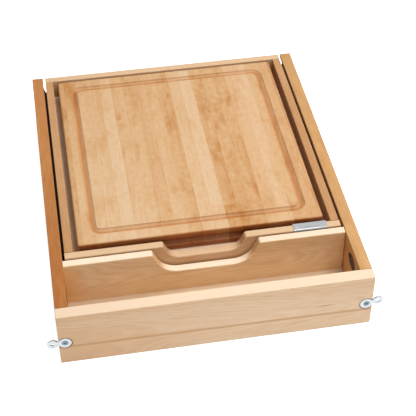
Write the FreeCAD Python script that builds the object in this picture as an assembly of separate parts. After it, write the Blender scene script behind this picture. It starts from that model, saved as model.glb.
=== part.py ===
import FreeCAD, Part
import math
import os

from FreeCAD import Vector

# Knife and cutting board drawer: an open maple drawer with a trough behind its front panel, a
# scooped divider, and an upper tray that holds a thick cutting board. The tray rolls back on
# ball bearing slides and uncovers a low knife block on the drawer bottom.
# All sizes are in millimetres. X runs to the right, Y from the front panel to the back, Z up.
# The origin is under the middle of the drawer, level with its lower edges.

# Drawer box
drawer_width = 457.2
drawer_depth = 559.5
drawer_height = 96.0
front_thickness = 19.0
side_thickness = 18.2
panel_arris = 1.2

# Drawer bottom, let into grooves above the hollow that the cabinet's runners use
runner_hollow = 12.7
bottom_thickness = 6.0
bottom_tongue = 6.0
tongue_clearance = 0.1

# Trough behind the front panel and the divider that closes it
trough_length = 78.8
divider_thickness = 12.7
divider_scoop_depth = 38.1
divider_scoop_floor = 82.0
divider_floor_radius = 33.0
divider_shoulder_radius = 5.0
scoop_lean = 25.0
divider_arris = 1.8

# Oval access hole in each side, beside the trough
access_hole_length = 35.0
access_hole_height = 23.0
access_hole_from_front = 58.0
access_hole_below_rim = 24.0

# Low rail across the back, under the tray
rail_thickness = 12.7
rail_tray_gap = 3.0

# Upper tray
tray_front_gap = 3.0
tray_side_gap = 3.9
tray_wall = 12.7
tray_height = 46.0
tray_scoop_depth = 25.0
tray_scoop_floor = 72.0
tray_floor_radius = 22.0
tray_shoulder_radius = 5.0
tray_floor_thickness = 6.0
tray_floor_tongue = 5.0
tray_front_arris = 1.8
tray_arris = 1.0

# Cutting board
board_thickness = 32.0
board_below_rim = 1.2
board_seat_gap = 0.3
board_side_gap = 8.1
board_front_gap = 11.8
board_back_gap = 2.6
board_corner_radius = 5.0
board_edge_radius = 3.0
juice_groove_inset = 25.4
juice_groove_radius = 6.35
juice_groove_depth = 4.0
juice_groove_corner = 12.7
cove_length = 200.0
cove_radius = 7.0

# Ball bearing slides, measured across the slide from the drawer side towards the tray
slide_front_setback = 21.5
slide_rear_setback = 18.5
slide_thickness = 12.7
slide_below_rim = 24.5
slide_sheet = 1.2
outer_member_height = 35.0
outer_member_setback = 3.1
outer_member_lip = 3.3
middle_member_back = 2.4
middle_member_setback = 1.7
middle_member_lip = 3.1
inner_member_back = 5.6
slide_lip_bend = 2.6
slide_web_bend = 1.8
slide_groove_clearance = 0.5
slide_front_clearance = 1.0

# Ball cages
ball_radius = 1.6
ball_clearance = 0.15
ball_flat_share = 0.92
cage_sheet = 0.5
cage_length = 200.0
cage_bend = 1.0
cage_web_gap = 0.35
cage_hole_clearance = 0.15
cage_ball_margin = 10.0
balls_per_row = 4

# Knife block on the drawer bottom
block_side_gap = 20.4
block_depth = 290.0
block_rear_gap = 26.0
block_base_thickness = 6.0
block_tray_gap = 4.8
knife_slot_width = 4.0
knife_slot_pitch = 36.0
knife_slot_lean = 42.0
knife_slot_count = 9
block_nose_radius = 6.0

# Figure-of-eight front fixing lugs, let into the front panel's ends
lug_thickness = 2.4
lug_disc_radius = 9.5
lug_ring_radius = 8.0
lug_neck_width = 8.0
lug_neck_fillet = 1.5
lug_rim_softening = 0.4
lug_ring_hole_radius = 2.8
lug_ring_sink_radius = 4.2
lug_ring_sink_depth = 1.0
lug_disc_overhang = 0.5
lug_above_base = 42.2
lug_recess_gap = 1.6
lug_seat_gap = 0.1
left_lug_tilt = -1.6
right_lug_tilt = 11.4

# Edge clip over the tray's front
clip_length = 51.0
clip_sheet = 1.5
clip_leg = 12.0
clip_bend = 2.2
clip_grip_gap = 0.05
clip_from_tray_end = 20.7
clip_bar_length = 30.0
clip_bar_width = 4.6
clip_bar_rise = 0.5
clip_pin_spacing = 40.8
clip_pin_radius = 1.0
clip_pin_length = 12.0
clip_pin_head_radius = 1.8
clip_pin_head_rise = 0.6

# Dowels and screws
fixing_clearance = 0.05
dowel_chamfer = 0.8
front_dowel_radius = 4.0
front_dowel_in_side = 18.0
front_dowel_in_front = 12.0
wall_dowel_radius = 3.0
wall_dowel_in_side = 11.0
wall_dowel_in_wall = 19.0
tray_dowel_in_front = 8.5
tray_dowel_in_side = 20.5
dowel_top_margin = 16.0
dowel_low_margin = 13.3
rail_dowel_margin = 5.6
tray_dowel_top_margin = 10.0
tray_dowel_above_floor = 7.0
bottom_screw_radius = 1.75
bottom_screw_head_radius = 3.5
bottom_screw_length = 22.0
bottom_screw_near = 60.0
bottom_screw_from_side = 40.4
slide_screw_radius = 1.5
slide_screw_head_radius = 3.0
outer_slide_screw_cover = 2.1
inner_slide_screw_cover = 4.9
outer_slide_screw_margin = 30.0
outer_slide_screw_count = 4
inner_slide_screw_margin = 22.0
inner_slide_screw_count = 3
lug_screw_radius = 2.1
lug_screw_head_radius = 4.1
lug_screw_cover = 1.9
lug_screw_slot_width = 1.2
lug_screw_slot_length = 4.8
lug_screw_slot_depth = 1.3
cut_margin = 1.0

# Places that several pieces share
half_width = drawer_width / 2
front_y = -drawer_depth / 2
back_y = drawer_depth / 2
inner_half_width = half_width - side_thickness
trough_back_y = front_y + front_thickness + trough_length
divider_back_y = trough_back_y + divider_thickness
bottom_top = runner_hollow + bottom_thickness
tray_front_y = divider_back_y + tray_front_gap
tray_half_width = inner_half_width - tray_side_gap
tray_inner_half_width = tray_half_width - tray_wall
tray_inner_front_y = tray_front_y + tray_wall
tray_inner_back_y = back_y - tray_wall
tray_base = drawer_height - tray_height
board_half_width = tray_inner_half_width - board_side_gap
board_front_y = tray_inner_front_y + board_front_gap
board_back_y = tray_inner_back_y - board_back_gap
board_top = drawer_height - board_below_rim
board_base = board_top - board_thickness
tray_floor_top = board_base - board_seat_gap
tray_floor_under = tray_floor_top - tray_floor_thickness
rail_front_y = back_y - rail_thickness
rail_top = tray_base - rail_tray_gap
block_half_width = inner_half_width - block_side_gap
block_back_y = rail_front_y - block_rear_gap
block_front_y = block_back_y - block_depth
block_base_top = bottom_top + block_base_thickness
block_top = tray_base - block_tray_gap
slide_z = drawer_height - slide_below_rim
slide_front_y = tray_front_y + slide_front_setback
slide_length = back_y - slide_rear_setback - slide_front_y
slide_groove_depth = slide_thickness - tray_side_gap
slide_web_x = -(inner_half_width + slide_groove_depth)
ball_track = slide_sheet + 2 * ball_radius + 2 * ball_clearance
outer_member_front = slide_thickness - outer_member_setback
middle_member_front = slide_thickness - middle_member_setback
middle_member_height = outer_member_height - 2 * ball_track
inner_member_height = middle_member_height - 2 * ball_track
lug_pivot_x = half_width - lug_disc_radius + lug_disc_overhang
lug_reach = lug_disc_radius + lug_ring_radius
lug_recess_radius = lug_disc_radius + lug_recess_gap
clip_centre = tray_half_width - clip_from_tray_end - clip_length / 2
clip_top = drawer_height + clip_sheet

UP = Vector(0, 0, 1)
RIGHT = Vector(1, 0, 0)
BACK = Vector(0, 1, 0)


def block(x0, x1, y0, y1, z0, z1):
    """A square-edged block between two corners."""
    return Part.makeBox(x1 - x0, y1 - y0, z1 - z0, Vector(x0, y0, z0))


def rod(radius, start, along, length):
    """A plain round rod."""
    return Part.makeCylinder(radius, length, start, along)


def mirrored(shape):
    """The same piece for the other side of the drawer."""
    return shape.mirror(Vector(0, 0, 0), RIGHT)


def edges_where(shape, test):
    """The straight edges whose middle point and direction pass a test."""
    picked = []
    for edge in shape.Edges:
        if isinstance(edge.Curve, Part.Line):
            direction = edge.tangentAt(edge.FirstParameter)
            if test(edge.CenterOfMass, direction):
                picked.append(edge)
    return picked


def is_near(a, b):
    return abs(a - b) < 1e-4


def bent_path(points, radii):
    """Straight runs joined by arcs: each inner point is turned with its own radius."""
    edges = []
    last = points[0]
    for i in range(1, len(points) - 1):
        corner = points[i]
        before = (points[i - 1] - corner).normalize()
        after = (points[i + 1] - corner).normalize()
        half_angle = before.getAngle(after) / 2
        set_back = radii[i - 1] / math.tan(half_angle)
        arc_start = corner + before * set_back
        arc_end = corner + after * set_back
        middle_line = (before + after).normalize()
        centre = corner + middle_line * (radii[i - 1] / math.sin(half_angle))
        arc_middle = centre - middle_line * radii[i - 1]
        if last.distanceToPoint(arc_start) > 1e-6:
            edges.append(Part.LineSegment(last, arc_start).toShape())
        edges.append(Part.Arc(arc_start, arc_middle, arc_end).toShape())
        last = arc_end
    if last.distanceToPoint(points[-1]) > 1e-6:
        edges.append(Part.LineSegment(last, points[-1]).toShape())
    return Part.Wire(edges)


def folded_strip(points, radii, sheet, travel):
    """A sheet strip bent along a path, with its thickness inside the path, drawn out along travel."""
    section = bent_path(points, radii).makeOffset2D(sheet, 0, True, True, False)
    return section.extrude(travel)


def scoop_cutter(top, depth, floor_length, floor_radius, shoulder_radius, y0, y1):
    """The hand scoop: a flat floor, two leaning walls, round at the floor and at the shoulders."""
    lean = math.radians(scoop_lean)
    floor_set_back = floor_radius / math.tan((math.pi / 2 + lean) / 2)
    floor_corner = floor_length / 2 + floor_set_back
    shoulder_corner = floor_corner + depth * math.tan(lean)
    shoulder_end = shoulder_corner + shoulder_radius / math.tan((math.pi / 2 + lean) / 2)
    low = top - depth
    points = [
        Vector(-shoulder_end, y0, top),
        Vector(-shoulder_corner, y0, top),
        Vector(-floor_corner, y0, low),
        Vector(floor_corner, y0, low),
        Vector(shoulder_corner, y0, top),
        Vector(shoulder_end, y0, top),
    ]
    radii = [shoulder_radius, floor_radius, floor_radius, shoulder_radius]
    outline = bent_path(points, radii)
    roof = Part.makePolygon([
        points[-1],
        points[-1] + UP * cut_margin,
        points[0] + UP * cut_margin,
        points[0],
    ])
    return Part.Face(Part.Wire(outline.Edges + roof.Edges)).extrude(BACK * (y1 - y0))


def scooped_wall(x0, x1, y0, y1, z0, z1, depth, floor_length, floor_radius, shoulder_radius, arris):
    """An upright board with a hand scoop in its top edge and softened upper edges."""
    wall = block(x0, x1, y0, y1, z0, z1)
    cutter = scoop_cutter(z1, depth, floor_length, floor_radius, shoulder_radius, y0, y1)
    wall = wall.cut(cutter).removeSplitter()
    low = z1 - depth
    rim = []
    for edge in wall.Edges:
        middle = edge.CenterOfMass
        on_face = is_near(edge.BoundBox.YLength, 0)
        inside = abs(middle.x) < floor_length / 2 + 2 * floor_radius + 2 * shoulder_radius
        if on_face and inside and middle.z > low - 1e-4:
            rim.append(edge)
    tops = edges_where(wall, lambda m, d: is_near(m.z, z1) and is_near(abs(d.x), 1))
    rim = [e for e in rim if not any(e.isSame(t) for t in tops)]
    return wall.makeFillet(arris, rim + tops)


def dowel(radius, start, along, length):
    """A dowel pin with chamfered ends."""
    pin = rod(radius, start, along, length)
    ends = [e for e in pin.Edges if isinstance(e.Curve, Part.Circle)]
    return pin.makeChamfer(dowel_chamfer, ends)


def dowel_hole(radius, start, along, length):
    """The hole that a dowel sits in, a hair wider and longer than the dowel."""
    slack = fixing_clearance
    return rod(radius + slack, start - along * slack, along, length + 2 * slack)


def countersunk(radius, head_radius, start, along, length, slack):
    """A flat-head screw from its head's face, or with slack the hole that it sits in."""
    head_depth = head_radius - radius
    head = Part.makeCone(head_radius + slack, radius + slack, head_depth, start, along)
    shank = rod(radius + slack, start, along, length + slack)
    return head.fuse(shank).removeSplitter()


# Fixing places, each used by the fixing and by the pieces that it joins


def front_dowel_places():
    """Dowels between the front panel and the left side, along Y."""
    x = -(half_width - side_thickness / 2)
    y = front_y + front_thickness - front_dowel_in_front
    return [Vector(x, y, bottom_top + dowel_low_margin), Vector(x, y, drawer_height - dowel_top_margin)]


def divider_dowel_places():
    """Dowels between the divider and the left side, along X."""
    x = -(inner_half_width + wall_dowel_in_side)
    y = trough_back_y + divider_thickness / 2
    return [Vector(x, y, bottom_top + dowel_low_margin), Vector(x, y, drawer_height - dowel_top_margin)]


def rail_dowel_places():
    """Dowels between the back rail and the left side, along X."""
    x = -(inner_half_width + wall_dowel_in_side)
    y = back_y - rail_thickness / 2
    return [Vector(x, y, bottom_top + rail_dowel_margin), Vector(x, y, rail_top - rail_dowel_margin)]


def tray_dowel_places():
    """Dowels between the tray's left side and its front and back, each with its direction."""
    x = -(tray_half_width - tray_wall / 2)
    places = []
    for z in (tray_floor_top + tray_dowel_above_floor, drawer_height - tray_dowel_top_margin):
        places.append((Vector(x, tray_inner_front_y - tray_dowel_in_front, z), BACK))
        places.append((Vector(x, tray_inner_back_y + tray_dowel_in_front, z), -BACK))
    return places


front_dowel_length = front_dowel_in_front + front_dowel_in_side
wall_dowel_length = wall_dowel_in_side + wall_dowel_in_wall
tray_dowel_length = tray_dowel_in_front + tray_dowel_in_side
outer_slide_screw_length = side_thickness - slide_groove_depth + slide_sheet - outer_slide_screw_cover
inner_slide_screw_length = tray_wall + slide_sheet - inner_slide_screw_cover
lug_screw_length = front_thickness - lug_seat_gap - lug_screw_cover


def bottom_screw_places():
    """Screws up through the drawer bottom into the divider and the back rail."""
    far = inner_half_width - bottom_screw_from_side
    places = []
    for y in (trough_back_y + divider_thickness / 2, back_y - rail_thickness / 2):
        for x in (-far, -bottom_screw_near, bottom_screw_near, far):
            places.append(Vector(x, y, runner_hollow))
    return places


def along_slide(margin, count):
    """Evenly spaced places along the slide, with a margin at both ends."""
    step = (slide_length - 2 * margin) / (count - 1)
    return [slide_front_y + margin + i * step for i in range(count)]


def outer_slide_screw_starts():
    """Head faces of the screws that hold the left outer slide member to the drawer side."""
    x = slide_web_x + slide_sheet
    return [Vector(x, y, slide_z) for y in along_slide(outer_slide_screw_margin, outer_slide_screw_count)]


def inner_slide_screw_starts():
    """Head faces of the screws that hold the left inner slide member to the tray side."""
    x = slide_web_x + slide_thickness - slide_sheet
    return [Vector(x, y, slide_z) for y in along_slide(inner_slide_screw_margin, inner_slide_screw_count)]


def lug_screw_start(side):
    return Vector(side * lug_pivot_x, front_y + lug_seat_gap, lug_above_base)


# Drawer box


def make_front():
    panel = block(-half_width, half_width, front_y, front_y + front_thickness, 0, drawer_height)
    outside = edges_where(panel, lambda m, d: is_near(m.y, front_y) or is_near(m.z, drawer_height))
    panel = panel.makeFillet(panel_arris, outside)
    groove_front = front_y + front_thickness - bottom_tongue - tongue_clearance
    groove_half = inner_half_width + bottom_tongue + tongue_clearance
    tools = [block(-groove_half, groove_half, groove_front, front_y + front_thickness + cut_margin,
                   runner_hollow - tongue_clearance, bottom_top + tongue_clearance)]
    for side in (-1, 1):
        centre = Vector(side * lug_pivot_x, front_y - cut_margin, lug_above_base)
        tools.append(rod(lug_recess_radius, centre, BACK, lug_thickness + 2 * lug_seat_gap + cut_margin))
        tools.append(countersunk(lug_screw_radius, lug_screw_head_radius, lug_screw_start(side), BACK,
                                 lug_screw_length, fixing_clearance))
    for place in front_dowel_places():
        hole = dowel_hole(front_dowel_radius, place, BACK, front_dowel_length)
        tools.extend([hole, mirrored(hole)])
    return panel.cut(tools)


def oval_prism(length, height, centre, thickness):
    """A level oval prism along X: an ellipse drawn out through a drawer side."""
    ellipse = Part.Ellipse(Vector(0, 0, 0), length / 2, height / 2)
    face = Part.Face(Part.Wire([ellipse.toShape()]))
    face.rotate(Vector(0, 0, 0), RIGHT, 90)
    face.rotate(Vector(0, 0, 0), UP, 90)
    face.translate(centre)
    return face.extrude(RIGHT * thickness)


def make_left_side():
    y0 = front_y + front_thickness
    side = block(-half_width, -inner_half_width, y0, back_y, 0, drawer_height)
    upper = edges_where(side, lambda m, d: is_near(m.z, drawer_height) and is_near(abs(d.y), 1))
    side = side.makeFillet(panel_arris, upper)
    groove_x = -(inner_half_width + bottom_tongue + tongue_clearance)
    bottom_groove = block(groove_x, -inner_half_width + cut_margin, y0 - cut_margin, back_y + cut_margin,
                          runner_hollow - tongue_clearance, bottom_top + tongue_clearance)
    half_groove = outer_member_height / 2 + slide_groove_clearance
    slide_groove = block(slide_web_x, -inner_half_width + cut_margin,
                         slide_front_y - slide_front_clearance, back_y + cut_margin,
                         slide_z - half_groove, slide_z + half_groove)
    hole_centre = Vector(-half_width - cut_margin, front_y + access_hole_from_front,
                         drawer_height - access_hole_below_rim)
    access_hole = oval_prism(access_hole_length, access_hole_height, hole_centre,
                             side_thickness + 2 * cut_margin)
    tools = [bottom_groove, slide_groove, access_hole]
    for place in front_dowel_places():
        tools.append(dowel_hole(front_dowel_radius, place, BACK, front_dowel_length))
    for place in divider_dowel_places() + rail_dowel_places():
        tools.append(dowel_hole(wall_dowel_radius, place, RIGHT, wall_dowel_length))
    for start in outer_slide_screw_starts():
        tools.append(countersunk(slide_screw_radius, slide_screw_head_radius, start, -RIGHT,
                                 outer_slide_screw_length, fixing_clearance))
    return side.cut(tools)


def make_divider():
    wall = scooped_wall(-inner_half_width, inner_half_width, trough_back_y, divider_back_y,
                        bottom_top, drawer_height, divider_scoop_depth, divider_scoop_floor,
                        divider_floor_radius, divider_shoulder_radius, divider_arris)
    tools = []
    for place in divider_dowel_places():
        hole = dowel_hole(wall_dowel_radius, place, RIGHT, wall_dowel_length)
        tools.extend([hole, mirrored(hole)])
    for place in bottom_screw_places():
        if place.y < 0:
            tools.append(rod(bottom_screw_radius + fixing_clearance, place, UP,
                             bottom_screw_length + fixing_clearance))
    return wall.cut(tools)


def make_bottom():
    half = inner_half_width + bottom_tongue
    panel = block(-half, half, front_y + front_thickness - bottom_tongue, back_y, runner_hollow, bottom_top)
    holes = [countersunk(bottom_screw_radius, bottom_screw_head_radius, place, UP, bottom_screw_length,
                         fixing_clearance) for place in bottom_screw_places()]
    return panel.cut(holes)


def make_back_rail():
    rail = block(-inner_half_width, inner_half_width, rail_front_y, back_y, bottom_top, rail_top)
    upper = edges_where(rail, lambda m, d: is_near(m.z, rail_top) and is_near(abs(d.x), 1))
    rail = rail.makeFillet(panel_arris, upper)
    tools = []
    for place in rail_dowel_places():
        hole = dowel_hole(wall_dowel_radius, place, RIGHT, wall_dowel_length)
        tools.extend([hole, mirrored(hole)])
    for place in bottom_screw_places():
        if place.y > 0:
            tools.append(rod(bottom_screw_radius + fixing_clearance, place, UP,
                             bottom_screw_length + fixing_clearance))
    return rail.cut(tools)


# Knife block: slats on a thin base, with leaning slots between them


def make_block_base():
    return block(-block_half_width, block_half_width, block_front_y, block_back_y, bottom_top, block_base_top)


def make_block_slats():
    body = block(-block_half_width, block_half_width, block_front_y, block_back_y, block_base_top, block_top)
    nose = edges_where(body, lambda m, d: is_near(m.z, block_top) and is_near(m.y, block_front_y))
    body = body.makeFillet(block_nose_radius, nose)
    lean = math.radians(knife_slot_lean)
    low = block_base_top - cut_margin
    high = block_top + cut_margin
    shift = (high - low) * math.tan(lean)
    mouth = knife_slot_width / math.cos(lean)
    y = block_front_y - cut_margin
    slots = []
    for i in range(knife_slot_count):
        x = (i - (knife_slot_count - 1) / 2) * knife_slot_pitch - shift / 2 - mouth / 2
        corners = [
            Vector(x, y, low),
            Vector(x + mouth, y, low),
            Vector(x + mouth + shift, y, high),
            Vector(x + shift, y, high),
        ]
        section = Part.Face(Part.makePolygon(corners + corners[:1]))
        slots.append(section.extrude(BACK * (block_depth + 2 * cut_margin)))
    return body.cut(slots)


# Upper tray


def make_tray_front():
    wall = scooped_wall(-tray_half_width, tray_half_width, tray_front_y, tray_inner_front_y,
                        tray_base, drawer_height, tray_scoop_depth, tray_scoop_floor,
                        tray_floor_radius, tray_shoulder_radius, tray_front_arris)
    return wall.cut(tray_end_tools(tray_inner_front_y - tray_floor_tongue - tongue_clearance,
                                   tray_inner_front_y + cut_margin) + clip_pin_holes())


def make_tray_back():
    wall = block(-tray_half_width, tray_half_width, tray_inner_back_y, back_y, tray_base, drawer_height)
    upper = edges_where(wall, lambda m, d: is_near(m.z, drawer_height) and is_near(abs(d.x), 1))
    wall = wall.makeFillet(tray_arris, upper)
    return wall.cut(tray_end_tools(tray_inner_back_y - cut_margin,
                                   tray_inner_back_y + tray_floor_tongue + tongue_clearance))


def tray_end_tools(groove_y0, groove_y1):
    """The floor groove between two depths, and the dowel holes that cross the tray's corners."""
    half = tray_inner_half_width + tray_floor_tongue + tongue_clearance
    tools = [block(-half, half, groove_y0, groove_y1,
                   tray_floor_under - tongue_clearance, tray_floor_top + tongue_clearance)]
    for place, along in tray_dowel_places():
        hole = dowel_hole(wall_dowel_radius, place, along, tray_dowel_length)
        tools.extend([hole, mirrored(hole)])
    return tools


def make_left_tray_side():
    side = block(-tray_half_width, -tray_inner_half_width, tray_inner_front_y, tray_inner_back_y,
                 tray_base, drawer_height)
    upper = edges_where(side, lambda m, d: is_near(m.z, drawer_height) and is_near(abs(d.y), 1))
    side = side.makeFillet(tray_arris, upper)
    groove_x = -(tray_inner_half_width + tray_floor_tongue + tongue_clearance)
    tools = [block(groove_x, -tray_inner_half_width + cut_margin,
                   tray_inner_front_y - cut_margin, tray_inner_back_y + cut_margin,
                   tray_floor_under - tongue_clearance, tray_floor_top + tongue_clearance)]
    for place, along in tray_dowel_places():
        tools.append(dowel_hole(wall_dowel_radius, place, along, tray_dowel_length))
    for start in inner_slide_screw_starts():
        tools.append(countersunk(slide_screw_radius, slide_screw_head_radius, start, RIGHT,
                                 inner_slide_screw_length, fixing_clearance))
    return side.cut(tools)


def make_tray_bottom():
    half = tray_inner_half_width + tray_floor_tongue
    return block(-half, half, tray_inner_front_y - tray_floor_tongue, tray_inner_back_y + tray_floor_tongue,
                 tray_floor_under, tray_floor_top)


# Edge clip: a folded steel saddle over the tray front's top edge


def clip_pin_starts():
    """Where the two pins pass through the clip's top, level with its upper face."""
    y = tray_front_y + tray_wall / 2
    return [Vector(clip_centre + side * clip_pin_spacing / 2, y, clip_top) for side in (-1, 1)]


def clip_pin_holes():
    return [rod(clip_pin_radius + fixing_clearance, start, -UP, clip_pin_length + fixing_clearance)
            for start in clip_pin_starts()]


def make_clip():
    x0 = clip_centre - clip_length / 2
    outside = clip_sheet + clip_grip_gap
    near = tray_front_y - outside
    far = tray_inner_front_y + outside
    points = [Vector(x0, near, clip_top - clip_leg), Vector(x0, near, clip_top),
              Vector(x0, far, clip_top), Vector(x0, far, clip_top - clip_leg)]
    saddle = folded_strip(points, [clip_bend, clip_bend], clip_sheet, RIGHT * clip_length)
    y = tray_front_y + tray_wall / 2
    straight = clip_bar_length - clip_bar_width
    x0 = clip_centre - straight / 2
    x1 = clip_centre + straight / 2
    bar_top = clip_top + clip_bar_rise
    bar = block(x0, x1, y - clip_bar_width / 2, y + clip_bar_width / 2, clip_top, bar_top)
    for x in (x0, x1):
        bar = bar.fuse(rod(clip_bar_width / 2, Vector(x, y, clip_top), UP, clip_bar_rise))
    bar = bar.removeSplitter()
    rim = [e for e in bar.Edges if is_near(e.BoundBox.ZMin, bar_top)]
    bar = bar.makeChamfer(clip_bar_rise / 2, rim)
    return saddle.fuse(bar).removeSplitter().cut(clip_pin_holes())


def make_clip_pins():
    pins = []
    for start in clip_pin_starts():
        dome_radius = (clip_pin_head_radius ** 2 + clip_pin_head_rise ** 2) / (2 * clip_pin_head_rise)
        ball = Part.makeSphere(dome_radius, start + UP * (clip_pin_head_rise - dome_radius))
        dome = ball.common(rod(2 * clip_pin_head_radius, start, UP, clip_pin_head_rise + cut_margin))
        pin = dome.fuse(rod(clip_pin_radius, start, -UP, clip_pin_length))
        pins.append(pin.removeSplitter())
    return Part.makeCompound(pins)


# Cutting board


def juice_groove_tools():
    """A round-bottomed groove that follows a rectangle with turned corners."""
    z = board_top + juice_groove_radius - juice_groove_depth
    middle = Vector(0, (board_front_y + board_back_y) / 2, z)
    half_x = board_half_width - juice_groove_inset
    half_y = (board_back_y - board_front_y) / 2 - juice_groove_inset
    straight_x = half_x - juice_groove_corner
    straight_y = half_y - juice_groove_corner
    runs = []
    for side in (-1, 1):
        level = middle + Vector(-straight_x, side * half_y, 0)
        upright = middle + Vector(side * half_x, -straight_y, 0)
        runs.append(rod(juice_groove_radius, level, RIGHT, 2 * straight_x))
        runs.append(rod(juice_groove_radius, upright, BACK, 2 * straight_y))
    for i, (a, b) in enumerate([(1, 1), (-1, 1), (-1, -1), (1, -1)]):
        turn = Part.makeTorus(juice_groove_corner, juice_groove_radius, Vector(0, 0, 0), UP, 0, 360, 90)
        turn.rotate(Vector(0, 0, 0), UP, 90 * i)
        turn.translate(middle + Vector(a * straight_x, b * straight_y, 0))
        runs.append(turn)
    return runs


def make_board():
    board = block(-board_half_width, board_half_width, board_front_y, board_back_y, board_base, board_top)
    upright = edges_where(board, lambda m, d: is_near(abs(d.z), 1))
    board = board.makeFillet(board_corner_radius, upright)
    rims = [e for e in board.Edges if is_near(e.BoundBox.ZLength, 0)]
    board = board.makeFillet(board_edge_radius, rims)
    for tool in juice_groove_tools():
        board = board.cut(tool)
    centre_z = (board_base + board_top) / 2
    straight = cove_length / 2 - cove_radius
    cove = rod(cove_radius, Vector(-straight, board_front_y, centre_z), RIGHT, 2 * straight)
    for x in (-straight, straight):
        cove = cove.fuse(Part.makeSphere(cove_radius, Vector(x, board_front_y, centre_z)))
    return board.cut(cove.removeSplitter())


# Ball bearing slides; every piece is drawn for the left side and mirrored


def across(u, v):
    """A point of the left slide's section: u from its back towards the tray, v up from its middle."""
    return Vector(slide_web_x + u, slide_front_y, slide_z + v)


def channel(back, front, height, lip, lip_bend, web_bend, sheet, length, start):
    """A folded channel along the slide, open towards the tray, with or without turned-in lips."""
    half = height / 2
    points = [across(back, half), across(back, -half)]
    radii = [web_bend, web_bend]
    if lip > 0:
        points = [across(front, half - lip), across(front, half)] + points
        points = points + [across(front, -half), across(front, -half + lip)]
        radii = [lip_bend] + radii + [lip_bend]
    else:
        points = [across(front, half)] + points + [across(front, -half)]
    return folded_strip([p + BACK * start for p in points], radii, sheet, BACK * length)


def make_left_outer_member():
    member = channel(0, outer_member_front, outer_member_height, outer_member_lip, slide_lip_bend,
                     slide_web_bend, slide_sheet, slide_length, 0)
    holes = [countersunk(slide_screw_radius, slide_screw_head_radius, start, -RIGHT,
                         outer_slide_screw_length, fixing_clearance) for start in outer_slide_screw_starts()]
    return member.cut(holes)


def make_left_middle_member():
    return channel(middle_member_back, middle_member_front, middle_member_height, middle_member_lip,
                   slide_lip_bend, slide_web_bend, slide_sheet, slide_length, 0)


def make_left_inner_member():
    half = inner_member_height / 2
    points = [across(inner_member_back, -half), across(slide_thickness, -half),
              across(slide_thickness, half), across(inner_member_back, half)]
    member = folded_strip(points, [slide_web_bend, slide_web_bend], slide_sheet, BACK * slide_length)
    holes = [countersunk(slide_screw_radius, slide_screw_head_radius, start, RIGHT,
                         inner_slide_screw_length, fixing_clearance) for start in inner_slide_screw_starts()]
    return member.cut(holes)


def bearing_ball(centre):
    """A ball with flats all round, since it repeats: one cube and its eighth turns in common."""
    half = ball_radius * ball_flat_share
    cube = block(centre.x - half, centre.x + half, centre.y - half, centre.y + half,
                 centre.z - half, centre.z + half)
    ball = cube
    for axis in (RIGHT, BACK, UP):
        turned = cube.copy()
        turned.rotate(centre, axis, 45)
        ball = ball.common(turned)
    return ball


def make_left_cage(member_front, member_height, web_back):
    """A bent strip with two rows of balls, which run in the lips of the member round it."""
    ball_u = member_front - slide_sheet - ball_clearance - ball_radius
    ball_v = member_height / 2 - slide_sheet - ball_clearance - ball_radius
    back = web_back + cage_web_gap
    front = member_front - slide_sheet - ball_clearance
    start = (slide_length - cage_length) / 2
    height = 2 * ball_v + cage_sheet
    strip = channel(back, front, height, 0, cage_bend, cage_bend, cage_sheet, cage_length, start)
    step = (cage_length - 2 * cage_ball_margin) / (balls_per_row - 1)
    holes = []
    balls = []
    for row in (-1, 1):
        for i in range(balls_per_row):
            centre = across(ball_u, row * ball_v) + BACK * (start + cage_ball_margin + i * step)
            hole_radius = ball_radius + cage_hole_clearance
            holes.append(rod(hole_radius, centre - UP * ball_radius, UP, 2 * ball_radius))
            balls.append(bearing_ball(centre))
    return Part.makeCompound([strip.cut(holes)] + balls)


def make_left_outer_cage():
    return make_left_cage(outer_member_front, outer_member_height, slide_sheet)


def make_left_inner_cage():
    return make_left_cage(middle_member_front, middle_member_height, middle_member_back + slide_sheet)


# Front fixing lugs


def make_lug(side, tilt):
    """A flat figure of eight: a screwed disc, a neck and an open ring beyond the panel's end."""
    y0 = front_y + lug_seat_gap
    pivot = Vector(side * lug_pivot_x, y0, lug_above_base)
    ring_centre = pivot + RIGHT * (side * lug_reach)
    disc = rod(lug_disc_radius, pivot, BACK, lug_thickness)
    ring = rod(lug_ring_radius, ring_centre, BACK, lug_thickness)
    near = min(pivot.x, ring_centre.x)
    neck = block(near, near + lug_reach, y0, y0 + lug_thickness,
                 lug_above_base - lug_neck_width / 2, lug_above_base + lug_neck_width / 2)
    plate = disc.fuse([ring, neck]).removeSplitter()
    waist = edges_where(plate, lambda m, d: is_near(abs(d.y), 1) and
                        is_near(abs(m.z - lug_above_base), lug_neck_width / 2))
    plate = plate.makeFillet(lug_neck_fillet, waist)
    rim = [e for e in plate.Edges if is_near(e.BoundBox.YLength, 0)]
    plate = plate.makeChamfer(lug_rim_softening, rim)
    screw_hole = countersunk(lug_screw_radius, lug_screw_head_radius, pivot, BACK,
                             lug_thickness, 2 * fixing_clearance)
    eye = rod(lug_ring_hole_radius, ring_centre, BACK, lug_thickness)
    sink = Part.makeCone(lug_ring_sink_radius, lug_ring_hole_radius, lug_ring_sink_depth,
                         ring_centre + BACK * lug_thickness, -BACK)
    plate = plate.cut([screw_hole, eye, sink])
    plate.rotate(pivot, BACK, -side * tilt)
    return plate


def make_lug_screws():
    """Flat-head screws with a cross slot, which the lugs turn on."""
    screws = []
    for side in (-1, 1):
        start = lug_screw_start(side)
        screw = countersunk(lug_screw_radius, lug_screw_head_radius, start, BACK, lug_screw_length, 0)
        long_half = lug_screw_slot_length / 2
        thin_half = lug_screw_slot_width / 2
        for a, b in ((long_half, thin_half), (thin_half, long_half)):
            slot = block(start.x - a, start.x + a, start.y, start.y + lug_screw_slot_depth,
                         start.z - b, start.z + b)
            screw = screw.cut(slot)
        screws.append(screw)
    return Part.makeCompound(screws)


# Groups of like fixings


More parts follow.
